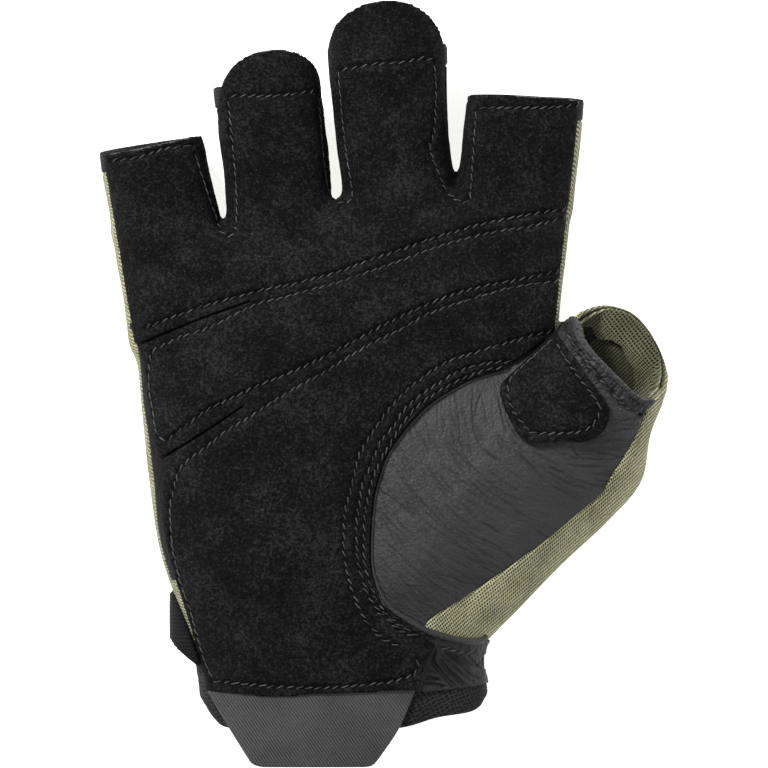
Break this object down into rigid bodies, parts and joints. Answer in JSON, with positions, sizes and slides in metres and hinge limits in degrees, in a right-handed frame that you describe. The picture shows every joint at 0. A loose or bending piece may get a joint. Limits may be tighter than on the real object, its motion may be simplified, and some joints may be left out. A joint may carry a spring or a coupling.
{
  "type": "half-finger weightlifting glove",
  "caption": "Right-hand glove with open fingertips, a padded suede palm with pull tabs, a smooth leather thumb base, a knit back and a wrist strap.",
  "frame": {"origin": "on the surface that the glove lies on, under the middle of its outline", "axes": "+Z out of the palm, +Y from the wrist to the fingers, +X to the thumb"},
  "size_m": [0.1341, 0.1797, 0.034],
  "materials": {
    "suede": "matt suede nap",
    "leather": "smooth, finely creased",
    "olive_mesh": "knitted mesh",
    "black_knit": "ribbed knit",
    "grey_webbing": "woven twill"
  },
  "bodies": {
    "root": {"palm_suede": "suede", "side_base": "leather", "thenar_leather": "leather", "thenar_welt": "leather", "thumb_patch": "suede", "thumb_rim": "leather", "wrist_gusset": "leather", "wrist_cuff": "black_knit", "heel_tab": "grey_webbing", "wrist_strap": "black_knit", "hand_back": "olive_mesh", "thumb_back": "olive_mesh", "binding_little": "black_knit", "binding_ring": "black_knit", "binding_middle": "black_knit", "binding_index": "black_knit", "gusset_little_ring": "black_knit", "gusset_ring_middle": "black_knit", "gusset_middle_index": "black_knit"}
  },
  "joints": []
}
